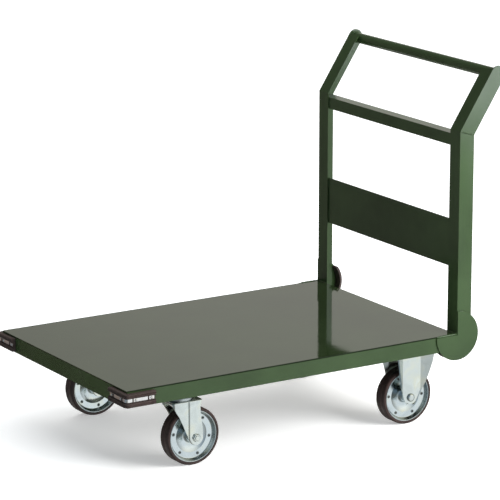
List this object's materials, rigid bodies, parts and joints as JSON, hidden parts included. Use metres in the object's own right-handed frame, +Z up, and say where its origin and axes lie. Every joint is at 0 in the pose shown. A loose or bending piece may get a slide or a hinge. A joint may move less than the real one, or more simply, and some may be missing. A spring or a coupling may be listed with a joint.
{
  "type": "platform trolley",
  "caption": "Flat steel platform trolley with an angle-steel frame, a fixed rear push handle, corner bumpers, swivel casters in front and fixed casters behind.",
  "frame": {"origin": "centre of the bounding box on the floor, where the wheels stand", "axes": "+X towards the handle end, along the deck's length; +Y to the operator's right; +Z up"},
  "size_m": [1.0387, 0.624, 0.8566],
  "materials": {
    "green_paint": "glossy dark green enamel, smooth, mirror-like on the flat deck",
    "zinc": "bright bluish zinc plating on pressed steel",
    "bumper_rubber": "black-brown moulded rubber, satin, with fine ribs along it",
    "tyre_rubber": "brown-black solid rubber, satin with fine moulding lines",
    "strip_metal": "bright rolled strip"
  },
  "bodies": {
    "root": {"deck_plate": "green_paint", "side_rail_left": "green_paint", "side_rail_right": "green_paint", "front_rail": "green_paint", "rear_rail": "green_paint", "front_beam_a": "green_paint", "front_beam_b": "green_paint", "rear_beam_a": "green_paint", "rear_beam_b": "green_paint", "middle_beam": "green_paint", "handle_post_left": "green_paint", "handle_post_right": "green_paint", "grip_pipe": "green_paint", "crossbar": "green_paint", "handle_panel": "green_paint", "corner_disc_left": "green_paint", "corner_disc_right": "green_paint", "round_bumper_left": "bumper_rubber", "round_bumper_right": "bumper_rubber", "corner_bumper_left": "bumper_rubber", "corner_bumper_right": "bumper_rubber", "bumper_strip_side_left": "strip_metal", "bumper_strip_front_left": "strip_metal", "bumper_strip_side_right": "strip_metal", "bumper_strip_front_right": "strip_metal", "top_plate_front_left": "zinc", "swivel_race_front_left": "zinc", "kingpin_front_left": "zinc", "top_plate_front_right": "zinc", "swivel_race_front_right": "zinc", "kingpin_front_right": "zinc", "bracket_rear_left": "zinc", "axle_bolt_rear_left": "zinc", "axle_nut_rear_left": "zinc", "bracket_rear_right": "zinc", "axle_bolt_rear_right": "zinc", "axle_nut_rear_right": "zinc"},
    "caster_front_left": {"fork_front_left": "zinc", "axle_bolt_front_left": "zinc", "axle_nut_front_left": "zinc"},
    "caster_front_right": {"fork_front_right": "zinc", "axle_bolt_front_right": "zinc", "axle_nut_front_right": "zinc"},
    "wheel_front_left": {"tyre_front_left": "tyre_rubber", "wheel_disc_outer_front_left": "zinc", "wheel_disc_inner_front_left": "zinc", "hub_sleeve_front_left": "zinc"},
    "wheel_front_right": {"tyre_front_right": "tyre_rubber", "wheel_disc_outer_front_right": "zinc", "wheel_disc_inner_front_right": "zinc", "hub_sleeve_front_right": "zinc"},
    "wheel_rear_left": {"tyre_rear_left": "tyre_rubber", "wheel_disc_outer_rear_left": "zinc", "wheel_disc_inner_rear_left": "zinc", "hub_sleeve_rear_left": "zinc"},
    "wheel_rear_right": {"tyre_rear_right": "tyre_rubber", "wheel_disc_outer_rear_right": "zinc", "wheel_disc_inner_rear_right": "zinc", "hub_sleeve_rear_right": "zinc"}
  },
  "joints": [
    {"name": "swivel_front_left", "type": "hinge", "parent": "root", "child": "caster_front_left", "pos_m": [-0.33116, -0.2267, 0.1584], "axis": [0, 0, 1], "continuous": true},
    {"name": "spin_front_left", "type": "hinge", "parent": "caster_front_left", "child": "wheel_front_left", "pos_m": [-0.30316, -0.2267, 0.0687], "axis": [0, 1, 0], "continuous": true},
    {"name": "swivel_front_right", "type": "hinge", "parent": "root", "child": "caster_front_right", "pos_m": [-0.33116, 0.2267, 0.1584], "axis": [0, 0, 1], "continuous": true},
    {"name": "spin_front_right", "type": "hinge", "parent": "caster_front_right", "child": "wheel_front_right", "pos_m": [-0.30316, 0.2267, 0.0687], "axis": [0, 1, 0], "continuous": true},
    {"name": "spin_rear_left", "type": "hinge", "parent": "root", "child": "wheel_rear_left", "pos_m": [0.29164, -0.2267, 0.0687], "axis": [0, 1, 0], "continuous": true},
    {"name": "spin_rear_right", "type": "hinge", "parent": "root", "child": "wheel_rear_right", "pos_m": [0.29164, 0.2267, 0.0687], "axis": [0, 1, 0], "continuous": true}
  ]
}
